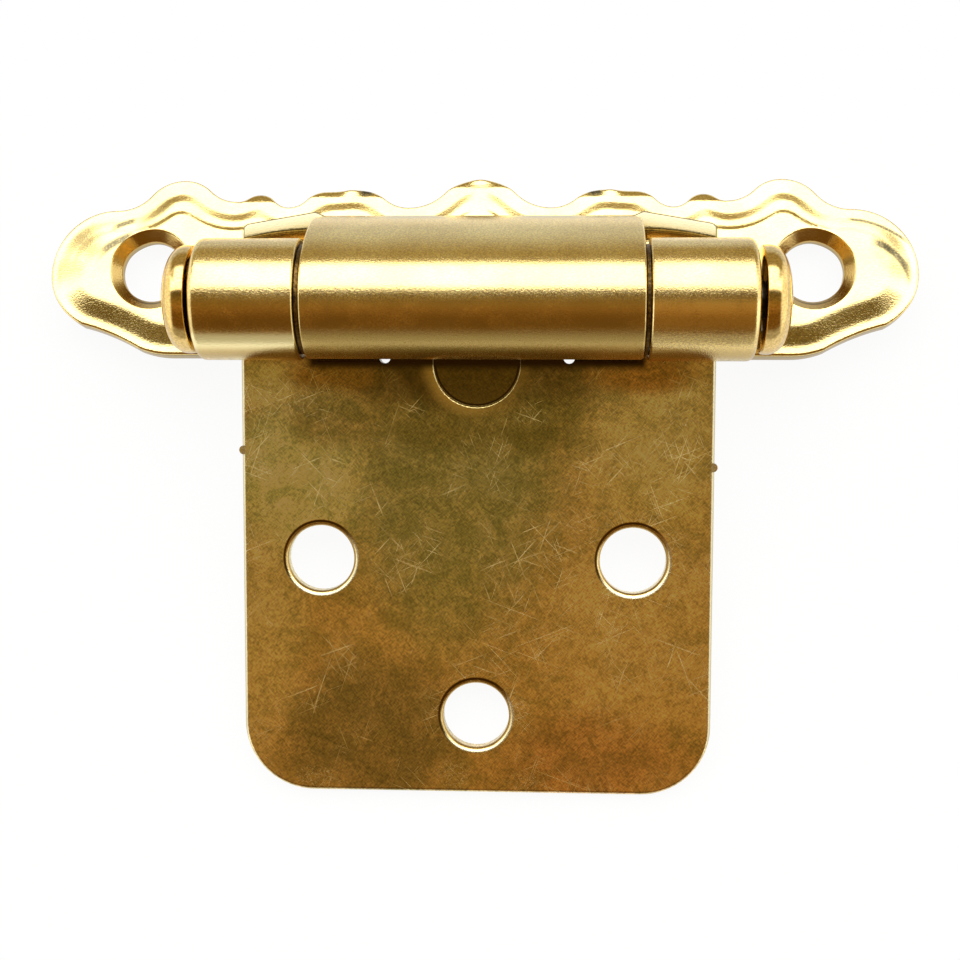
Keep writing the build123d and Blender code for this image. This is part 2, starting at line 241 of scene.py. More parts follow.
lightRoom()
layFloor()
setCamera()
print("room, floor and camera set")


hinge = {"leafTilt": 8.5646, "doorTilt": 5.4354, "centreRadius": 4.55, "sheet": 1.0}
leafTilt, doorTilt = math.radians(hinge["leafTilt"]), math.radians(hinge["doorTilt"])
leafUp = Vector((0, math.cos(leafTilt), -math.sin(leafTilt)))
leafOut = Vector((0, math.sin(leafTilt), math.cos(leafTilt)))
doorOut = Vector((0, -math.sin(doorTilt), math.cos(doorTilt)))


def onLeaf(x, rise, front):              # leaf coordinates in millimetres to a point in the scene
    return axisPoint + (Vector((1, 0, 0)) * x + leafUp * rise + leafOut * front) * mm


def arcRun(centre, radius, begin, end, spacing=0.2):
    count = max(3, int(abs(end - begin) * radius / spacing))
    turns = [begin + (end - begin) * k / count for k in range(count)]
    return [(centre[0] + radius * math.cos(a), centre[1] + radius * math.sin(a)) for a in turns]


def lineRun(a, b, spacing=0.2):
    count = max(1, int(math.dist(a, b) / spacing))
    return [(a[0] + (b[0] - a[0]) * k / count, a[1] + (b[1] - a[1]) * k / count) for k in range(count)]


def roundedRun(points, radius, spacing=0.2):    # straight runs with rounded corners, last point left off
    path = []
    last = points[0]
    for a, b, c in zip(points, points[1:], points[2:]):
        inward, outward = Vector(b) - Vector(a), Vector(c) - Vector(b)
        inward.normalize()
        outward.normalize()
        half = inward.angle(outward) / 2
        cut = radius * math.tan(half)
        first, second = Vector(b) - inward * cut, Vector(b) + outward * cut
        path += lineRun(last, first, spacing)
        middle = Vector(b) + (outward - inward).normalized() * (radius / math.cos(half))
        begin = math.atan2(first.y - middle.y, first.x - middle.x)
        sweep = math.atan2(second.y - middle.y, second.x - middle.x) - begin
        sweep = (sweep + math.pi) % (2 * math.pi) - math.pi
        path += arcRun(middle, radius, begin, begin + sweep, spacing)
        last = tuple(second)
    return path + lineRun(last, points[-1], spacing)


leafForm = {                             # millimetres, across the barrel (x) and up the leaf from its axis (rise)
    "scallops": [(0.0, 11.848), (5.8, 9.4), (9.9, 11.0), (12.6, 10.88), (15.7, 9.45), (18.1, 10.66), (20.0, 9.95),
                 (24.3, 11.75)],
    "hole": (26.64, 4.0), "holeRadius": 2.525, "sinkRadius": 3.26, "sinkRound": 0.14,
    "lipShape": ((0.45, 0.12), (0.8, 0.4)),      # inset and drop round the sink's lip, as shares of sinkRound
    "sinkEase": 0.05, "sinkFall": 0.1, "throatFall": 0.06, "collar": 0.45, "collarWall": 0.4,
    "lobeOut": 3.18, "lobeRadius": 5.2, "jaw": (2.8, 4.55), "waistSag": 0.2, "footOut": 1.84, "footRun": 2.6,
    "footLift": 0.5, "footDrop": 3.05, "shoulderHalf": 20.0, "shoulderDrop": 0.9, "slotHalf": 13.25, "slotTop": 7.0,
    "notchRound": 0.5, "rimDepth": 5.7, "edgeRound": 0.18, "stepSoft": 0.12,
    "steps": ((1.05, 2.0, 0.5, 0.42), (2.4, 2.8, 0.75, 0.28)),     # start, end, smoothing and height of each step
    "lobeSqueeze": 0.4, "squeezeRun": (25.5, 30.5),                # the steps come closer to the edge on the lobes
    "evenRise": (0.5, 3.4), "domeSpread": 1.0, "fade": (25.8, 28.4), "fadeShare": 0.8,
    "lowerSlope": (-0.3, 0.55), "lowerSide": (18.0, 22.0),         # where an edge counts as a lobe's lower edge
    "rollStart": 0.75, "rollEnd": 2.35, "rollSoft": 0.14, "rollDrop": 0.3, "skirt": 0.36,
    "caps": ((5.8, 10.98), (15.7, 10.2), (20.0, 9.8)), "capSlope": 0.46, "capSoft": 0.05,
    "capBreaks": ((0.0, 0.85), (10.6, 0.6)), "breakDepth": 0.65,
    "spacing": 0.2, "fieldMargin": 2.0, "slopeBlur": 0.5, "creaseAngle": 50,
    "rings": (0.03, 0.08, 0.14, 0.22, 0.38, 0.56, 0.74, 0.92, 1.1, 1.28, 1.46, 1.64, 1.82, 2.0, 2.2, 2.4, 2.6, 2.8),
}


def scallopRun(form):                    # right half of the leaf's edge, from the dome round the lobe to the foot
    path = []
    hole = form["hole"]
    ends = form["scallops"] + [(hole[0] + form["lobeOut"], hole[1] + form["lobeRadius"])]
    for (ax, ay), (bx, by) in zip(ends, ends[1:]):
        dx, dy = (bx - ax) / 2, (by - ay) / 2
        bend = (dx * dx + dy * dy) / (2 * abs(dy))
        for x in np.arange(ax, bx, form["spacing"]):
            if x < ax + dx:
                y = ay + math.copysign(bend - math.sqrt(bend ** 2 - (x - ax) ** 2), dy)
            else:
                y = by - math.copysign(bend - math.sqrt(bend ** 2 - (bx - x) ** 2), dy)
            path.append((float(x), y))
    lobe = (hole[0] + form["lobeOut"], hole[1])
    path += arcRun(lobe, form["lobeRadius"], math.pi / 2, 0)
    inset, drop = form["jaw"]
    bend = (inset ** 2 + drop ** 2) / (2 * inset)
    tip = lobe[0] + form["lobeRadius"]
    path += arcRun((tip - bend, hole[1]), bend, 0, -math.asin(drop / bend))
    jaw = (tip - inset, hole[1] - drop)
    foot = (hole[0] - form["footOut"], -form["footDrop"])
    bend = (form["footRun"] ** 2 + form["footLift"] ** 2) / (2 * form["footLift"])
    heel = (foot[0] + form["footRun"], foot[1] + form["footLift"])
    waist = lineRun(jaw, heel)
    for k, (x, y) in enumerate(waist):
        t = k / len(waist)
        path.append((x, y + 4 * form["waistSag"] * t * (1 - t)))
    path += arcRun((foot[0], foot[1] + bend), bend, -math.pi / 2 + math.asin(form["footRun"] / bend), -math.pi / 2)
    return path, foot


def mirrored(path):                      # right half to the whole closed loop
    left = [(-x, y) for x, y in reversed(path) if abs(x) > 1e-6]
    return path + left


def nearest(points, loop, block=800):    # distance of each point to a closed loop of short runs
    a = np.array(loop)
    b = np.roll(a, -1, axis=0)
    run = b - a
    span = (run ** 2).sum(1)
    best = np.full(len(points), 1e9)
    for first in range(0, len(points), block):
        p = points[first:first + block, None, :]
        t = np.clip(((p - a) * run).sum(2) / span, 0, 1)[..., None]
        best[first:first + block] = np.sqrt((((a + t * run) - p) ** 2).sum(2)).min(1)
    return best


def inside(points, loop):
    a = np.array(loop)
    b = np.roll(a, -1, axis=0)
    x, y = points[:, 0:1], points[:, 1:2]
    crosses = ((a[:, 1] > y) != (b[:, 1] > y)) & (
        x < (b[:, 0] - a[:, 0]) * (y - a[:, 1]) / np.where(b[:, 1] == a[:, 1], 1e-12, b[:, 1] - a[:, 1]) + a[:, 0])
    return crosses.sum(1) % 2 == 1


def smoothstep(value, low, high):
    t = np.clip((value - low) / (high - low), 0, 1)
    return t * t * (3 - 2 * t)


def softRamp(value, low, high, soft):    # straight ramp from 0 to 1 with eased ends
    begin = (value - low + np.sqrt((value - low) ** 2 + soft ** 2)) / 2
    finish = (value - high + np.sqrt((value - high) ** 2 + soft ** 2)) / 2
    return (begin - finish) / (high - low)


class DistanceField:                     # distance inside a loop, on a grid
    def __init__(self, loop, spacing, margin):
        self.low = np.array(loop).min(0) - margin
        self.spacing = spacing
        count = np.ceil((np.array(loop).max(0) + margin - self.low) / spacing).astype(int) + 1
        ys, xs = np.meshgrid(np.arange(count[1]), np.arange(count[0]))
        points = np.stack([xs.ravel(), ys.ravel()], 1) * spacing + self.low
        signed = nearest(points, loop) * np.where(inside(points, loop), 1, -1)
        self.grid = signed.reshape(count)

    def blurred(self, spread):
        reach = int(3 * spread / self.spacing)
        weight = np.exp(-0.5 * (np.arange(-reach, reach + 1) * self.spacing / spread) ** 2)
        weight /= weight.sum()
        grid = self.grid
        for axis in (0, 1):
            ends = [(reach, reach) if k == axis else (0, 0) for k in (0, 1)]
            grid = np.apply_along_axis(np.convolve, axis, np.pad(grid, ends, mode="edge"), weight, mode="valid")
        copy = DistanceField.__new__(DistanceField)
        copy.low, copy.spacing, copy.grid = self.low, self.spacing, grid
        return copy

    def at(self, flat):
        place = (flat - self.low) / self.spacing
        k = np.floor(place).astype(int)
        t = place - k
        g, a, b = self.grid, k[:, 0], k[:, 1]
        near = g[a, b] * (1 - t[:, 1]) + g[a, b + 1] * t[:, 1]
        far = g[a + 1, b] * (1 - t[:, 1]) + g[a + 1, b + 1] * t[:, 1]
        return near * (1 - t[:, 0]) + far * t[:, 0]

    def slope(self, flat, spread):       # how fast the distance grows up the leaf
        step = np.array([0.0, self.spacing])
        smooth = self.blurred(spread)
        return (smooth.at(flat + step) - smooth.at(flat - step)) / (2 * self.spacing)


meshing = {                              # shares of a spacing or radius; the weld is in metres
    "ringKeep": 0.93, "rowPitch": 0.866, "edgeGap": 0.5, "holeGap": 0.6, "holeSides": 72,
    "holeInside": 0.999, "holeOutside": 1.01, "mergeGap": 1e-7, "weld": 1e-7,
}


def sheetTriangles(loop, holes, spacing, rings):
    # edge loop, a few rings inside it, circles round the holes and a fine filling
    loop = np.array(loop)
    along = np.roll(loop, -1, axis=0) - np.roll(loop, 1, axis=0)
    along /= np.linalg.norm(along, axis=1)[:, None]
    inward = np.stack([along[:, 1], -along[:, 0]], 1)      # the loops run clockwise
    points = [loop]
    for depth in rings:
        ring = loop + inward * depth
        points.append(ring[nearest(ring, loop) > depth * meshing["ringKeep"]])
    turn = np.arange(meshing["holeSides"]) * 2 * np.pi / meshing["holeSides"]
    circles = [np.stack([cx + radius * np.cos(turn), cy + radius * np.sin(turn)], 1) for (cx, cy), radius in holes]
    xs = np.arange(loop[:, 0].min(), loop[:, 0].max(), spacing)
    ys = np.arange(loop[:, 1].min(), loop[:, 1].max(), spacing * meshing["rowPitch"])
    grid = np.array([(x + (spacing / 2 if k % 2 else 0), y) for k, y in enumerate(ys) for x in xs])
    grid = grid[inside(grid, loop)]
    grid = grid[nearest(grid, loop) > rings[-1] + spacing * meshing["edgeGap"]]
    for (cx, cy), radius in holes:
        grid = grid[np.hypot(grid[:, 0] - cx, grid[:, 1] - cy) > radius + spacing * meshing["holeGap"]]
    every = np.concatenate(points + circles + [grid])
    edges = [(k, (k + 1) % len(loop)) for k in range(len(loop))]
    start = sum(len(p) for p in points)
    for circle in circles:
        edges += [(start + k, start + (k + 1) % len(circle)) for k in range(len(circle))]
        start += len(circle)
    flat, _, faces, _, _, _ = delaunay_2d_cdt([Vector(p) for p in every], edges, [], 1, meshing["mergeGap"])
    flat = np.array([tuple(v) for v in flat])
    faces = np.array(faces)
    middle = flat[faces].mean(1)
    keep = inside(middle, loop)
    for (cx, cy), radius in holes:
        keep &= np.hypot(middle[:, 0] - cx, middle[:, 1] - cy) > radius * meshing["holeInside"]
    return flat, faces[keep]


def borderEdges(faces):
    ways = set()
    for a, b, c in faces:
        ways |= {(a, b), (b, c), (c, a)}
    return [(a, b) for a, b in ways if (b, a) not in ways]


def outwardMesh(name, verts, polys, weld=0.0):      # a mesh with its faces turned outward
    mesh = bpy.data.meshes.new(name)
    mesh.from_pydata(verts, [], polys)
    build = bmesh.new()
    build.from_mesh(mesh)
    if weld:
        bmesh.ops.remove_doubles(build, verts=build.verts, dist=weld)
    bmesh.ops.recalc_face_normals(build, faces=build.faces)
    build.to_mesh(mesh)
    build.free()
    return mesh


def closedSheet(name, loop, front, back, spacing, rings, holes=(), rims=None):
    flat, faces = sheetTriangles(loop, holes, spacing, rings)
    away = nearest(flat, loop)
    tops, bottoms = front(flat, away), back(flat, away)
    count = len(flat)
    verts = [onLeaf(x, y, u) for (x, y), u in zip(flat, tops)]
    verts += [onLeaf(x, y, u) for (x, y), u in zip(flat, bottoms)]
    polys = [tuple(f) for f in faces] + [(c + count, b + count, a + count) for a, b, c in faces]
    for a, b in borderEdges(faces):
        hole = next((h for h in holes if math.dist(flat[a], h[0]) < h[1] * meshing["holeOutside"]), None)
        if hole is None:
            polys.append((b, a, a + count, b + count))
            continue
        (cx, cy), radius = hole
        rows = [(a, b)]
        for ratio, drop in rims:                  # ring by ring down the countersink and the wall
            start = len(verts)
            for k in (a, b):
                x, y = cx + (flat[k][0] - cx) * ratio / radius, cy + (flat[k][1] - cy) * ratio / radius
                verts.append(onLeaf(x, y, tops[k] - drop if drop is not None else bottoms[k]))
            rows.append((start, start + 1))
        rows.append((a + count, b + count))
        for (p, q), (r, s) in zip(rows, rows[1:]):
            polys.append((q, p, r, s))
    return outwardMesh(name, verts, polys, meshing["weld"])


def edgeFall(away, radius):              # how far a rounded edge falls away
    inset = np.clip(radius - away, 0, radius)
    return radius - np.sqrt(radius ** 2 - inset ** 2)


def stampedLeaf():
    form = leafForm
    edge, foot = scallopRun(form)
    full = mirrored(edge + [foot])
    notch = [foot, (form["shoulderHalf"], foot[1]), (form["shoulderHalf"], form["shoulderDrop"]),
             (form["slotHalf"], form["shoulderDrop"]), (form["slotHalf"], form["slotTop"]), (0, form["slotTop"])]
    loop = mirrored(edge + roundedRun(notch, form["notchRound"]) + [(0, form["slotTop"])])
    sheet, soft = hinge["sheet"], form["stepSoft"]
    field = DistanceField(full, form["spacing"], form["fieldMargin"])
    fields = [field.blurred(spread) for _, _, spread, _ in form["steps"]]

    def lowerSide(flat):                 # 1 along the lobes' lower edges, 0 along the scallops
        lower = smoothstep(field.slope(flat, form["slopeBlur"]), *form["lowerSlope"])
        return lower * smoothstep(np.abs(flat[:, 0]), *form["lowerSide"])

    def terraces(flat):
        side = np.abs(flat[:, 0])
        squeeze = 1 + form["lobeSqueeze"] * smoothstep(side, *form["squeezeRun"])
        stairs = np.zeros(len(flat))
        total = sum(height for _, _, _, height in form["steps"])
        for (low, high, _, height), smooth in zip(form["steps"], fields):
            stairs += height * softRamp(smooth.at(flat) * squeeze, low, high, soft)
        even = total * softRamp(fields[0].at(flat), *form["evenRise"], soft)
        dome = np.exp(-(side / form["domeSpread"]) ** 2)      # the dome's middle and the lobes' ends rise evenly
        stairs += (even - stairs) * np.maximum(dome, form["fadeShare"] * smoothstep(side, *form["fade"]))
        lower = lowerSide(flat)
        roll = total - form["rollDrop"]
        roll += form["rollDrop"] * softRamp(fields[0].at(flat), form["rollStart"], form["rollEnd"], form["rollSoft"])
        return -form["rimDepth"] + stairs * (1 - lower) + roll * lower

    def front(flat, away):
        height = terraces(flat) - edgeFall(away, form["edgeRound"])
        side, rise = np.abs(flat[:, 0]), flat[:, 1]
        inner = 0.0
        for outer, start in form["caps"]:          # crest tops bent back a little
            over = rise - start
            fall = form["capSlope"] * (over + np.sqrt(over ** 2 + form["capSoft"] ** 2)) / 2
            for middle, spread in form["capBreaks"]:
                fall = fall * (1 - form["breakDepth"] * np.exp(-((side - middle) / spread) ** 2))
            height -= np.where((side >= inner) & (side < outer), fall, 0)
            inner = outer
        return height

    def back(flat, away):
        return terraces(flat) - sheet - form["skirt"] * lowerSide(flat)

    hx, hy = form["hole"]
    bore, lip, ease = form["holeRadius"], form["sinkRound"], form["sinkEase"]
    wide, slope, collar = form["sinkRadius"] + lip, form["sinkRadius"] - bore, sheet + form["collar"]
    rims = [(wide - lip * inset, lip * drop) for inset, drop in form["lipShape"]]      # radius, depth below the face
    rims += [(form["sinkRadius"] - ease, rims[-1][1] + form["sinkFall"]), (bore + ease, slope),
             (bore, slope + form["throatFall"]), (bore, collar), (bore + form["collarWall"], collar),
             (bore + form["collarWall"], None)]
    holes = [((hx, hy), wide), ((-hx, hy), wide)]
    return closedSheet("stampedLeaf", loop, front, back, form["spacing"], form["rings"], holes, rims)


stripForm = {                            # same coordinates as the leaf
    "top": [(0.0, 8.0), (12.3, 8.0), (13.1, 8.35), (18.9, 7.3), (18.9, 5.8)], "corner": 0.5, "low": (12.9, 6.6),
    "front": 3.55, "back": 6.0, "tilt": 0.04, "droop": 0.12, "turn": 0.7,
    "edgeRound": 0.2, "spacing": 0.11, "rings": (0.03, 0.1, 0.2),
}


def raisedStrip():
    form = stripForm
    right = roundedRun(form["top"], form["corner"])
    low, end = form["low"], form["top"][-1]
    dx, dy = end[0] - low[0], low[1] - end[1]
    bend = (dx * dx + dy * dy) / (2 * dy)
    curve = arcRun((low[0], low[1] - bend), bend, math.pi / 2 - math.asin(dx / bend), math.pi / 2)
    loop = mirrored(right + curve + lineRun(low, (0, low[1])) + [(0, low[1])])

    def front(flat, away):               # the strip rolls over towards the barrel
        side, rise = np.abs(flat[:, 0]), flat[:, 1]
        over = np.clip(side - low[0], 0, dx)
        highest = np.interp(side, *zip(*form["top"][:-1]))
        lowest = low[1] - bend + np.sqrt(bend ** 2 - over ** 2)
        t = np.clip((highest - rise) / (highest - lowest), 0, 1)
        over = np.clip(t - form["turn"], 0, 1) / (1 - form["turn"])
        fall = form["tilt"] * (highest - rise) + form["droop"] * over ** 2
        return -form["front"] - fall - edgeFall(away, form["edgeRound"])

    def back(flat, away):
        return np.full(len(flat), -form["back"])

    return closedSheet("raisedStrip", loop, front, back, form["spacing"], form["rings"])


crownForm = {                            # millimetres, and degrees round the barrel
    "half": 12.9, "start": 37.0, "end": 62.4, "radius": 16.0, "root": 7.25, "lipCorner": 1.2, "endRound": 0.22,
    "rows": (20, 120, 40),               # along the root, round the barrel, up the crown
    "columns": 49, "columnReach": 0.96, "endColumns": 6, "innerColumns": 25,
}


def rolledKnuckle():
    form = crownForm
    radius, sheet = hinge["centreRadius"], hinge["sheet"]
    start, end = math.radians(form["start"]), math.radians(form["end"])
    middle = ((radius - form["radius"]) * math.sin(start), (radius - form["radius"]) * math.cos(start))
    rootRows, barrelRows, crownRows = form["rows"]
    barrel = np.linspace(-math.pi / 2, -1.5 * math.pi - start, barrelRows, endpoint=False)

    def profile(inset):                  # (rise, front) along the sheet from its root to the lip
        r, crown = radius - inset, form["radius"] - inset
        path = [(form["root"] - k * form["root"] / rootRows, -r) for k in range(rootRows)]
        path += [(r * math.cos(a), r * math.sin(a)) for a in barrel]
        path += [(middle[0] + crown * math.sin(a), middle[1] + crown * math.cos(a))
                 for a in np.linspace(start, end, crownRows)]
        return np.array(path)

    outer, inner = profile(0.0), profile(sheet)
    run = np.concatenate([[0], np.cumsum(np.linalg.norm(np.diff(outer, axis=0), axis=1))])
    left = np.clip(form["lipCorner"] - (run[-1] - run), 0, form["lipCorner"])
    half = form["half"] - (form["lipCorner"] - np.sqrt(form["lipCorner"] ** 2 - left ** 2))
    turns = np.linspace(0, math.pi / 2, form["endColumns"])
    ends = [(form["endRound"] * (1 - math.sin(a)), form["endRound"] * (1 - math.cos(a))) for a in turns]
    reach = form["columnReach"]
    columns = [(1, short, fall) for short, fall in reversed(ends)]
    columns += [(t, form["endRound"], 0.0) for t in np.linspace(reach, -reach, form["columns"])]
    columns += [(-1, short, fall) for short, fall in ends]
    verts, grid = [], []
    for k in range(len(outer)):
        row = []
        inwards = (inner[k] - outer[k]) / sheet
        for t, short, fall in columns:
            rise, front = outer[k] + inwards * fall
            row.append(len(verts))
            verts.append(onLeaf(t * (half[k] - short), rise, front))
        for t in np.linspace(-1, 1, form["innerColumns"]):
            row.append(len(verts))
            verts.append(onLeaf(t * half[k], inner[k][0], inner[k][1]))
        grid.append(row)
    width = len(grid[0])
    polys = [(a[c], a[(c + 1) % width], b[(c + 1) % width], b[c]) for a, b in zip(grid, grid[1:]) for c in range(width)]
    polys += [tuple(reversed(grid[0])), tuple(grid[-1])]
    return outwardMesh("rolledKnuckle", verts, polys)


def joined(name, meshes):                # one skin round several overlapping solids
    parts = [bpy.data.objects.new(mesh.name, mesh) for mesh in meshes]
    for part in parts:
        scene.collection.objects.link(part)
    for part in parts[1:]:
        union = parts[0].modifiers.new("union", "BOOLEAN")
        union.operation = "UNION"
        union.solver = "EXACT"
        union.object = part
    bpy.context.view_layer.update()
    solid = bpy.data.meshes.new_from_object(parts[0].evaluated_get(bpy.context.evaluated_depsgraph_get()))
    for part in parts:
        bpy.data.objects.remove(part)
    solid.name = name
    piece = bpy.data.objects.new(name, solid)
    scene.collection.objects.link(piece)
    return piece


def shadeSoft(piece, angle):
    piece.data.shade_smooth()
    piece.data.set_sharp_from_angle(angle=math.radians(angle))


scallopedLeaf = joined("scallopedLeaf", [stampedLeaf(), raisedStrip(), rolledKnuckle()])
shadeSoft(scallopedLeaf, leafForm["creaseAngle"])
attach(scallopedLeaf, "frame")
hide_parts("frame_leaf")
print("scalloped leaf:", len(scallopedLeaf.data.polygons), "faces")


tipForm = {
    "radius": 4.15, "length": 2.3, "bevel": 0.2, "rim": 0.2, "bevelShape": ((0.04, 0.1), (0.1, 0.03)), "power": 2.6,
    "leftFace": -21.51, "rightFace": 21.65, "domeRows": 40, "sides": 96, "creaseAngle": 40,
}


def buttonTip(name, face, side):         # turned button: bevel, short rim, full dome
    form = tipForm
    start, count, steps = form["bevel"] + form["rim"], form["sides"], form["domeRows"]
    profile = [(0.0, form["radius"] - form["bevel"])]
    profile += [(along, form["radius"] - inset) for along, inset in form["bevelShape"]]
    for k in range(steps + 1):
        turn = math.pi / 2 * k / steps
        along, out = math.sin(turn) ** (2 / form["power"]), math.cos(turn) ** (2 / form["power"])
        profile.append((start + (form["length"] - start) * along, form["radius"] * out))
    verts, polys = [], []
    for along, out in profile[:-1]:
        for k in range(count):
            turn = 2 * math.pi * k / count
            verts.append(axisPoint + Vector((face + side * along, out * math.sin(turn), out * math.cos(turn))) * mm)
    rows = len(profile) - 1
    for row in range(rows - 1):
        for k in range(count):
            a, b = row * count + k, row * count + (k + 1) % count
            polys.append((a, b, b + count, a + count))
    verts.append(axisPoint + Vector((face + side * form["length"], 0, 0)) * mm)
    polys += [((rows - 1) * count + k, (rows - 1) * count + (k + 1) % count, len(verts) - 1) for k in range(count)]
    polys.append(tuple(range(count)))
    tip = bpy.data.objects.new(name, outwardMesh(name, verts, polys))
    scene.collection.objects.link(tip)
    shadeSoft(tip, form["creaseAngle"])
    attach(tip, "door")
    return tip


leftButton = buttonTip("leftButton", tipForm["leftFace"], -1)
rightButton = buttonTip("rightButton", tipForm["rightFace"], 1)
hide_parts("left_tip")
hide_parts("right_tip")
print("button tips made")


def blob(side, down, centre, reach, wander, soft=(0.1, 1.6)):      # 1 in the middle of a soft patch, 0 well outside
    across, along = (side - centre[0]) / reach[0], (down - centre[1]) / reach[1]
    return (across * across + along * along + wander).fall(*soft)


def distance(across, along):
    return across.calc("SQRT", across * across + along * along)


def strongest(values):                   # the largest of several values
    best = values[0]
    for value in values[1:]:
        best = best.calc("MAXIMUM", best, value)
    return best


def lifted(value, floor):                # 0 to 1 becomes floor to 1
    return floor + (1 - floor) * value


def tinted(tree, a, b):                  # two colours multiplied
    return tree.add("ShaderNodeMix", {"data_type": "RGBA", "blend_type": "MULTIPLY"}, {0: 1.0, 6: a, 7: b}, 2)


satin = {                                # what all the finishes share
    "clouds": (230.0, 4.0, 0.6), "speckle": (2.0, 0.6), "toneRange": (0.34, 0.66), "cloudRough": 0.08,
    "speck": (1.0, 0.5), "speckRange": (0.3, 0.7),
    "scratchGrain": (500.0, 6000.0, 500.0), "scratch": (1.0, 2.0, 0.5), "scratchRough": 0.03,
}


def plating(name, look):                 # plain satin plating: clouds, speckle, fine scratches
    material, tree = newMaterial(name)
    place = tree.add("ShaderNodeTexCoord", {}, {}, "Object")
    clouds = place.cloud(*satin["clouds"])
    speckle = place.cloud(look["grainScale"], *satin["speckle"])
    scratch = place.stretch(look["grainTurn"], satin["scratchGrain"]).cloud(*satin["scratch"])
    speck = place.cloud(look["speckScale"], *satin["speck"]).rise(*satin["speckRange"])
    tone = ((clouds + speckle) / 2).rise(*satin["toneRange"]).mix(look["deep"], look["light"])
    tone = tinted(tree, tone, speck.mix(*look["speck"]))
    rough = look["rough"] + (speckle - 0.5) * look["roughSpread"]
    rough = rough + (clouds - 0.5) * satin["cloudRough"] + (scratch - 0.5) * satin["scratchRough"]
    return material, tree, place, tone, rough, speckle * look["grain"]


def simplePlating(name, look):
    material, tree, _, tone, rough, height = plating(name, look)
    finishMetal(tree, tone, rough, height)
    return material


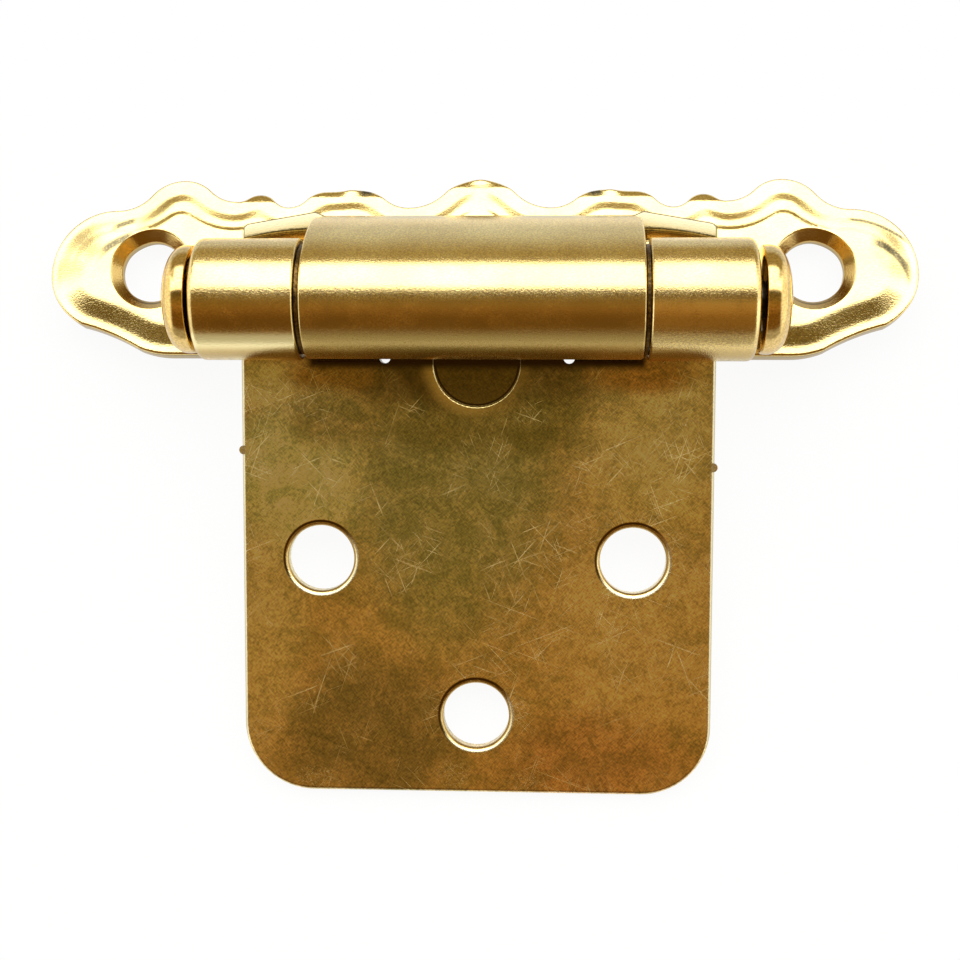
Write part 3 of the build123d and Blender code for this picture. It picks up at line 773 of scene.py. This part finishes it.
doorLook = {
    "light": (0.88, 0.69, 0.29, 1), "deep": (0.70, 0.51, 0.19, 1), "rough": 0.2, "roughSpread": 0.12,
    "grainScale": 8000.0, "grain": 0.012, "grainTurn": 0.0,
    "speckScale": 7000.0, "speck": ((0.83, 0.83, 0.95, 1), (1.09, 1.09, 1.03, 1)),
}
# door plate colours: tarnish, scratches and nicks, together with painted light (painted reflections, highlights and
# shade)
tarnishAndPaintedLight = {                              # millimetres on the plate: across, and down from the axis
    "plateDown": (4.45, 4.75), "plateDrop": (-3.6, -3.2), "face": (-3.95, -3.85), "far": 20.0,
    "base": (0.78, 0.62, 0.34), "rough": 0.18,
    "wander": (((90.0, 3.0, 0.5), 1.3), ((420.0, 5.0, 0.65), 0.8)),
    # patches of painted reflection, pale or olive, and of painted shade just under the barrel
    "patches": [                         # centre, reaches, colour, added roughness
        ((-2.0, 16.0), (8.5, 11.0), (0.56, 0.57, 0.34), 0.0),
        ((1.0, 8.0), (11.0, 3.6), (0.42, 0.38, 0.16), 0.0),
        ((-1.0, 4.8), (14.0, 3.2), (0.22, 0.16, 0.06), -0.02),
        ((-9.0, 34.0), (8.0, 6.0), (0.47, 0.41, 0.24), 0.0),
        ((14.5, 12.0), (6.0, 8.0), (1.0, 0.86, 0.5), 0.0),
        ((13.0, 25.0), (8.0, 9.0), (1.0, 0.8, 0.5), 0.0),
        ((-15.0, 13.5), (5.5, 6.5), (0.95, 0.98, 0.66), 0.0),
        ((-18.0, 27.0), (4.0, 9.0), (0.92, 0.80, 0.52), 0.0),
        ((9.0, 36.5), (8.0, 4.0), (0.72, 0.50, 0.28), 0.0),
        ((-17.0, 6.2), (3.0, 2.2), (1.0, 0.9, 0.55), 0.02),
        ((-11.5, 5.6), (4.0, 1.3), (0.5, 0.32, 0.1), 0.0),
        ((-12.0, 8.8), (3.4, 2.4), (0.58, 0.52, 0.28), 0.0),
        ((13.0, 5.4), (4.5, 1.5), (0.62, 0.38, 0.13), 0.0),
    ],
    "mottle": (520.0, 4.5, 0.66, 0.8), "mottleRange": (0.34, 0.66),
    "mottleTones": ((0.74, 0.78, 0.66, 1), (1.16, 1.12, 1.08, 1)),
    "hatch": (0.78, -0.8), "hatchGrain": (2800.0, 12000.0, 2800.0), "hatchNoise": (1.0, 1.0, 0.5),
    "hatchRange": (0.3, 0.7), "hatchTones": ((0.62, 0.62, 0.58, 1), (1.36, 1.36, 1.3, 1)),
    "crackle": (540.0, 1.5, 0.5, 1.6), "crackleLine": (0.5, 0.011), "crackleShare": 0.5,
    "streaks": (0.35, 0.8, 1.2, 1.9, 2.3, 2.75), "streakGrain": (210.0, 11000.0, 210.0),
    "streakNoise": (1.0, 0.0, 0.5, 0.5), "streakRange": (0.73, 0.82),
    "markNoise": (210.0, 3.0, 0.5), "markRange": (0.42, 0.62), "markShare": 0.75, "markRough": 0.18,
    "nicks": (((-1.8, 37.6), (1.6, 1.2)), ((4.0, 38.2), (1.6, 1.0)), ((3.6, 32.4), (1.0, 1.4)),
              ((-13.0, 38.0), (2.0, 1.0))),
    "nickNoise": (1500.0, 2.0, 0.5, 2.0), "nickLine": (0.5, 0.03), "scratch": (1.0, 0.88, 0.46, 1),
    "moon": (0.0, 4.48), "moonRadius": 3.4, "moonClear": (1.0, 2.4),           # the half-moon recess
    "moonLine": (-0.1, 0.1), "moonSharp": (0.0, 0.5),
    "lean": 0.8, "slant": (2.0, 9.0), "slantFloor": 0.35,
    # painted highlight round the half-moon, painted shade inside it
    "haloRun": (0.0, 0.1, 0.1, 1.4), "haloShare": 0.75, "halo": (0.95, 0.74, 0.3, 1),
    "tabRun": (-0.06, -0.02), "tabShare": 0.85, "tab": (0.2, 0.15, 0.045, 1),
    "shadeDown": (4.5, 5.3), "shade": (13.0, 13.7), "shadeTone": (0.06, 0.035, 0.012, 1),
    # painted highlight along the half-moon's lower edge; paler plate side edges
    "foldLine": (0.06, 0.08), "foldDown": (4.9, 5.4), "edge": (18.4, 18.7, 18.84, 18.9),
    # hole rims and bores: painted highlight, painted shade
    "holes": ((-12.5, 20.08), (12.5, 20.08), (0.0, 32.72)), "rimReach": (2.84, 2.9, 3.02, 3.12),
    "boreReach": (2.8, 2.86), "rimTurn": (-1.5, 1.5), "rollOver": (2.8, 3.12), "rollDepth": 0.065,
    "rim": (0.62, 0.55, 0.36, 1), "paleEdgeAndHighlightRough": 0.1, "recess": (0.6, 0.42, 0.15, 1),
    "shadedBore": (0.32, 0.2, 0.055, 1), "rimShade": (0.14, 0.085, 0.025, 1),
    # painted reflections, highlight and shade on the outer knuckles
    "barrel": (0.3, 0.9, 2.3, 3.1), "barrelMottle": (0.2, 0.6), "barrelShare": 0.8, "halves": (-2.0, 2.0),
    "dull": (0.52, 0.38, 0.13, 1), "bright": (1.0, 0.8, 0.36, 1),
    "lowBand": (2.8, 3.2, 3.75, 4.4), "lowTone": (1.0, 0.87, 0.46, 1), "underShare": 0.8,
    "under": (0.5, 0.36, 0.14, 1),
}


def doorPlating():
    look = tarnishAndPaintedLight
    material, tree, place, tone, rough, height = plating("doorBrass", doorLook)
    x, y, z = place.parts()
    side, down, drop = x / mm, (axisPoint.y - y) / mm, (z - axisPoint.z) / mm
    across = tree.calc("ABSOLUTE", side)
    behind = (drop * doorOut.z - down * doorOut.y).fall(*look["face"])

    def away(spot):                      # distance from a spot on the plate's face, far off behind it
        return distance(side - spot[0], down - spot[1]) + behind * look["far"]

    plate = strongest([down.rise(*look["plateDown"]), drop.fall(*look["plateDrop"])])
    wander = 0.0
    for noise, share in look["wander"]:
        wander = (place.cloud(*noise) - 0.5) * share + wander
    paint = (*look["base"], 1)
    haze = plate * (look["rough"] - doorLook["rough"])
    for centre, reach, colour, rougher in look["patches"]:
        patch = blob(side, down, centre, reach, wander)
        paint = patch.mix(paint, (*colour, 1))
        haze = haze + patch * plate * rougher

    mottle = place.cloud(*look["mottle"])
    paint = tinted(tree, paint, mottle.rise(*look["mottleRange"]).mix(*look["mottleTones"]))
    hatch = 0.0
    for turn in look["hatch"]:
        hatch = place.stretch(turn, look["hatchGrain"]).cloud(*look["hatchNoise"]) / len(look["hatch"]) + hatch
    speck = hatch.rise(*look["hatchRange"]).mix(*look["hatchTones"])
    paint = tinted(tree, paint, speck)

    moon = away(look["moon"]) - look["moonRadius"]         # below 0 inside the recess
    scores = [place.cloud(*look["crackle"]).line(*look["crackleLine"]) * look["crackleShare"]]
    for turn in look["streaks"]:
        streak = place.stretch(turn, look["streakGrain"]).cloud(*look["streakNoise"])
        scores.append(streak.rise(*look["streakRange"]))
    marks = [strongest(scores) * place.cloud(*look["markNoise"]).rise(*look["markRange"])]
    nick = place.cloud(*look["nickNoise"]).line(*look["nickLine"])
    marks += [blob(side, down, centre, reach, 0.0) * nick for centre, reach in look["nicks"]]
    marks = strongest(marks) * plate * moon.rise(*look["moonClear"])
    paint = (marks * look["markShare"]).mix(paint, look["scratch"])

    slant = lifted((down * look["lean"] - side).rise(*look["slant"]), look["slantFloor"])
    # painted highlight in a ring round the half-moon, stronger below and to the left
    halo = moon.between(*look["haloRun"]) * slant * look["haloShare"]          # stronger below and to the left
    paint = halo.mix(paint, look["halo"])
    # painted shade inside the half-moon recess, speckled, and a painted shade line round its edge
    paint = (moon.fall(*look["tabRun"]) * look["tabShare"]).mix(paint, tinted(tree, speck, look["tab"]))
    paint = moon.line(*look["moonLine"]).rise(*look["moonSharp"]).mix(paint, look["shadeTone"])
    shade = down.fall(*look["shadeDown"]) * across.fall(*look["shade"])
    paint = shade.mix(paint, look["shadeTone"])

    # painted highlight along the half-moon's lower edge, stronger below and to the left; the plate's side edges are
    # also painted paler in the rim colour
    foldHighlight = moon.line(*look["foldLine"]) * down.rise(*look["foldDown"]) * lifted(slant, look["slantFloor"])
    paleEdgesAndHighlights = [strongest([across.between(*look["edge"]), foldHighlight]) * plate]
    # each hole: painted highlight on the lower right of its rim, painted shade on the upper left, and a golden-brown
    # bore with painted shade on its lower right
    recess, rimShade, facing = [], [], 0.0
    for hole in look["holes"]:
        far = away(hole)
        lit = (down - hole[1] + (side - hole[0]) * look["lean"]).rise(*look["rimTurn"])
        ring, within = far.between(*look["rimReach"]), far.fall(*look["boreReach"])
        paleEdgesAndHighlights.append(ring * lit)
        rimShade.append(ring * (1.0 - lit))
        recess.append(within)
        facing = within * lit + facing
        height = far.rise(*look["rollOver"]) * look["rollDepth"] + height      # the sheet dips at each hole
    paleEdgesAndHighlights = strongest(paleEdgesAndHighlights)
    shadedBore = facing.mix(look["recess"], look["shadedBore"])
    paint = strongest(recess).mix(paleEdgesAndHighlights.mix(paint, look["rim"]), shadedBore)
    paint = strongest(rimShade).mix(paint, look["rimShade"])

    # painted reflections on the outer knuckles: a mottled band across the barrel's front, darker on the left half and
    # brighter on the right, a painted highlight low down on the left, and painted shade on the underside
    right = side.rise(*look["halves"])
    band = down.between(*look["barrel"]) * mottle.rise(*look["barrelMottle"]) * look["barrelShare"]
    tone = band.mix(tone, right.mix(look["dull"], look["bright"]))
    low = down.between(*look["lowBand"]) * (1.0 - right)
    under = down.rise(*look["lowBand"][2:]) * look["underShare"]
    tone = under.mix(low.mix(tone, look["lowTone"]), look["under"])
    rough = rough + haze + marks * look["markRough"] + paleEdgesAndHighlights * look["paleEdgeAndHighlightRough"]
    finishMetal(tree, plate.mix(tone, paint), rough, height)
    return material


leafLook = {                             # millimetres across, up the leaf, in front of it and down from the axis
    "light": (0.88, 0.70, 0.29, 1), "deep": (0.74, 0.55, 0.21, 1), "rough": 0.2, "roughSpread": 0.1,
    "grainScale": 8000.0, "grain": 0.011, "grainTurn": 0.0,
    "speckScale": 7000.0, "speck": ((0.83, 0.83, 0.95, 1), (1.09, 1.09, 1.03, 1)),
    "leafFront": (-4.7, -4.3), "leafRough": -0.08,
    "tips": (9.35, 10.75), "tipSquash": 1.4, "tipReach": (0.3, 0.8), "tipNoise": (4200.0, 2.0),
    "tipRange": (0.3, 0.5), "worn": (0.11, 0.095, 0.06, 1), "wornRough": 0.2,
    "hole": (26.64, 4.0), "sink": (3.35, 3.45), "sinkFront": (-5.2, -5.1), "sinkTone": (0.6, 0.42, 0.15, 1),
    # painted reflection band and painted shade on the centre knuckle
    "knuckleEnd": (13.2, 13.5), "band": (0.3, 0.8, 2.3, 3.1), "bandNoise": (300.0, 5.0, 0.65),
    "bandRange": (0.25, 0.6), "bandShare": 0.9, "bandTone": (0.55, 0.42, 0.16, 1),
    "underDown": (2.5, 3.0), "underFront": (-4.7, -4.5), "underShare": 0.9, "underRough": 0.06,
    "under": (0.56, 0.4, 0.13, 1),
    "crownRise": (6.5, 7.1), "crownFront": (-2.7, -2.2), "crown": (0.56, 0.47, 0.23, 1),
    # painted shade on the raised strip, in the hollow under it and beside its ends
    "stripRise": (5.3, 5.5), "stripEnd": (19.2, 19.3), "stripFront": (-4.0, -3.85, -3.2, -3.0), "stripShare": 0.95,
    "stripSlant": 0.17, "stripRange": (9.1, 10.3), "strip": ((0.25, 0.19, 0.075, 1), (0.34, 0.31, 0.2, 1)),
    "lensSide": (12.0, 12.5), "lensFront": (-4.95, -4.85, -4.0, -3.85), "lens": (0.34, 0.2, 0.045, 1),
    "creaseLine": (19.0, 0.14), "creaseRise": (5.5, 5.7, 7.5, 7.8), "creaseFront": (-4.9, -4.8),
    "creaseShade": (0.1, 0.07, 0.03, 1),
    # painted shade on the leaf's lower walls and feet
    "footRise": (0.8, 2.4), "footSide": (20.0, 21.5), "footFront": (-5.58, -5.48), "footLine": (-5.56, 0.12),
    "wallFront": (-6.1, -6.0), "wall": (0.48, 0.38, 0.21, 1),
    "rubs": (                            # lobe, arc's centre, radius, width, run across
        (-1, (26.27, 0.685), 6.53, 0.66, (28.0, 28.8, 30.3, 31.4)),
        (-1, (26.27, 0.685), 7.84, 0.46, (28.0, 28.6, 29.6, 30.4)),
        (1, (30.41, 2.35), 4.02, 0.56, (31.0, 31.9, 33.8, 34.5)),
        (1, (29.12, 0.55), 7.73, 0.26, (29.3, 29.9, 33.6, 34.6)),
    ),
    "rubEdge": (0.1, 0.9), "rubRise": (0.3, 1.0), "rubNoise": (6000.0, 2.0, 0.6), "rubRange": (0.25, 0.6),
    "rubFloor": 0.7, "rubTone": (0.13, 0.11, 0.06, 1),
}


def leafPlating():
    look = leafLook
    material, tree, place, tone, rough, height = plating("leafBrass", look)
    x, y, z = place.parts()
    side, down, drop = tree.calc("ABSOLUTE", x) / mm, (axisPoint.y - y) / mm, (z - axisPoint.z) / mm
    rise, ahead = drop * leafUp.z - down * leafUp.y, drop * leafOut.z - down * leafOut.y

    tip = distance(side - look["tips"][0], (rise - look["tips"][1]) * look["tipSquash"])
    worn = tip.fall(*look["tipReach"]) * place.cloud(*look["tipNoise"]).rise(*look["tipRange"])
    # painted shade: the countersinks are painted a darker golden brown
    sink = distance(side - look["hole"][0], rise - look["hole"][1]).fall(*look["sink"])
    sink = sink * ahead.fall(*look["sinkFront"])
    colour = sink.mix(worn.mix(tone, look["worn"]), look["sinkTone"])

    # painted reflection: a mottled darker band across the centre knuckle's front; painted shade on its lower side
    knuckle = side.fall(*look["knuckleEnd"])
    band = down.between(*look["band"]) * knuckle * place.cloud(*look["bandNoise"]).rise(*look["bandRange"])
    colour = (band * look["bandShare"]).mix(colour, look["bandTone"])
    under = down.rise(*look["underDown"]) * knuckle * ahead.rise(*look["underFront"])
    colour = (under * look["underShare"]).mix(colour, look["under"])
    # painted reflection: the crown's top is painted duller and greyer
    colour = (rise.rise(*look["crownRise"]) * ahead.rise(*look["crownFront"])).mix(colour, look["crown"])

    # painted shade on the raised strip's face, darkest low down and towards the middle
    strip = rise.rise(*look["stripRise"]) * side.fall(*look["stripEnd"])
    slope = (rise + side * look["stripSlant"]).rise(*look["stripRange"]).mix(*look["strip"])
    colour = (strip * ahead.between(*look["stripFront"]) * look["stripShare"]).mix(colour, slope)
    # painted shade in the hollow under the strip's curved lower edge
    lens = strip * side.rise(*look["lensSide"]) * ahead.between(*look["lensFront"])
    colour = lens.mix(colour, look["lens"])
    # a painted shade line beside each end of the strip
    creaseShade = side.line(*look["creaseLine"]) * rise.between(*look["creaseRise"]) * ahead.fall(*look["creaseFront"])
    colour = creaseShade.mix(colour, look["creaseShade"])

    # painted shade on the leaf's back, lower walls and feet, with a painted shade line along each foot
    foot = rise.fall(*look["footRise"]) * side.rise(*look["footSide"])
    fallen = strongest([ahead.fall(*look["wallFront"]), ahead.fall(*look["footFront"]) * foot])
    colour = fallen.mix(colour, look["wall"])
    colour = (ahead.line(*look["footLine"]) * foot).mix(colour, look["creaseShade"])
    grain = lifted(place.cloud(*look["rubNoise"]).rise(*look["rubRange"]), look["rubFloor"]) * (1.0 - sink)
    for flank, centre, radius, width, run in look["rubs"]:         # dull rubbed arcs on the lobes
        along = rise - centre[1]
        rub = distance(side - centre[0], along).line(radius, width).rise(*look["rubEdge"])
        rub = rub * side.between(*run) * along.rise(*look["rubRise"]) * (x * flank).rise(0.0, mm)
        colour = (rub * grain).mix(colour, look["rubTone"])
    rough = rough + worn * look["wornRough"] + ahead.fall(*look["leafFront"]) * look["leafRough"]
    finishMetal(tree, colour, rough + under * look["underRough"], height)
    return material


tipLook = {
    "light": (0.82, 0.60, 0.25, 1), "deep": (0.68, 0.47, 0.16, 1), "rough": 0.13, "roughSpread": 0.06,
    "grainScale": 6000.0, "grain": 0.002, "grainTurn": 1.57,
    "speckScale": 5200.0, "speck": ((0.84, 0.84, 0.8, 1), (1.08, 1.08, 1.06, 1)),
}
# the bushes are painted nearly black: painted shade in the gaps between the knuckles
shadedBushLook = {
    "light": (0.2, 0.12, 0.035, 1), "deep": (0.05, 0.03, 0.01, 1), "rough": 0.42, "roughSpread": 0.2,
    "grainScale": 5200.0, "grain": 0.02, "grainTurn": 0.0,
    "speckScale": 5200.0, "speck": ((0.7, 0.7, 0.7, 1), (1.2, 1.2, 1.2, 1)),
}
# steel for the pin, spring and cam, darkened: painted shade where they show in the knuckle gaps
steelLook = {
    "light": (0.2, 0.18, 0.15, 1), "deep": (0.09, 0.08, 0.065, 1), "rough": 0.4, "roughSpread": 0.1,
    "grainScale": 4000.0, "grain": 0.003, "grainTurn": 1.57,
    "speckScale": 5200.0, "speck": ((0.8, 0.8, 0.8, 1), (1.1, 1.1, 1.1, 1)),
}


def coat(piece, material):
    piece.data.materials.clear()
    piece.data.materials.append(material)


coat(scallopedLeaf, leafPlating())
coat(nodes["door_leaf"], doorPlating())
tipBrass = simplePlating("tipBrass", tipLook)
shadedBush = simplePlating("shadedBush", shadedBushLook)
pinSteel = simplePlating("pinSteel", steelLook)
for button in (leftButton, rightButton):
    coat(button, tipBrass)
for name in ("left_bush", "right_bush"):
    coat(nodes[name], shadedBush)
for name in ("hinge_pin", "closing_spring", "cam"):
    coat(nodes[name], pinSteel)
print("materials set")
